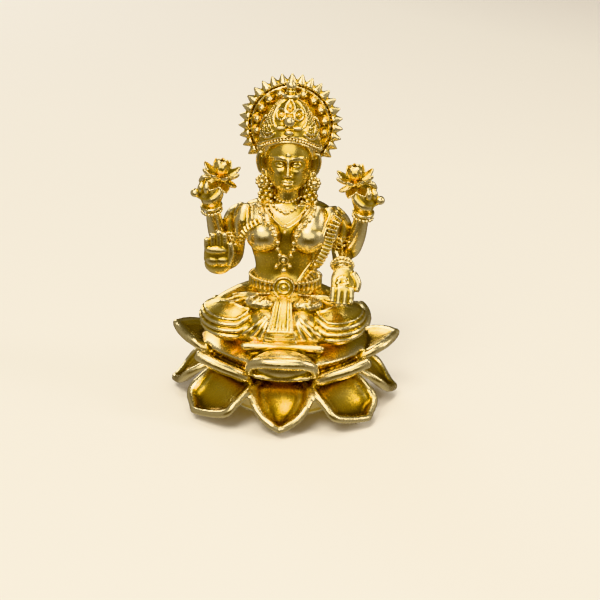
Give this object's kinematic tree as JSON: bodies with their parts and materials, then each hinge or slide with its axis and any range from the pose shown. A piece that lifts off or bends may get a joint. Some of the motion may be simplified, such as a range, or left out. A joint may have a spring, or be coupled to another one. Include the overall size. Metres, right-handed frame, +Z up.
{
  "type": "lakshmi figure",
  "caption": "Small gilt cast figure of Lakshmi, seated cross-legged on a double lotus, with four arms, held lotus flowers, a tall crown and a rayed halo.",
  "frame": {"origin": "on the table, under the middle of the lotus base", "axes": "+Z up through the figure, -Y the way that the figure faces, +X to its left hand"},
  "size_m": [0.054, 0.054, 0.0757],
  "materials": {
    "gilt_brass": "polished cast metal with a gold finish, pale where it is rubbed and deep orange brown in the recesses"
  },
  "bodies": {
    "root": {"lakshmi_figure": "gilt_brass"}
  },
  "joints": []
}
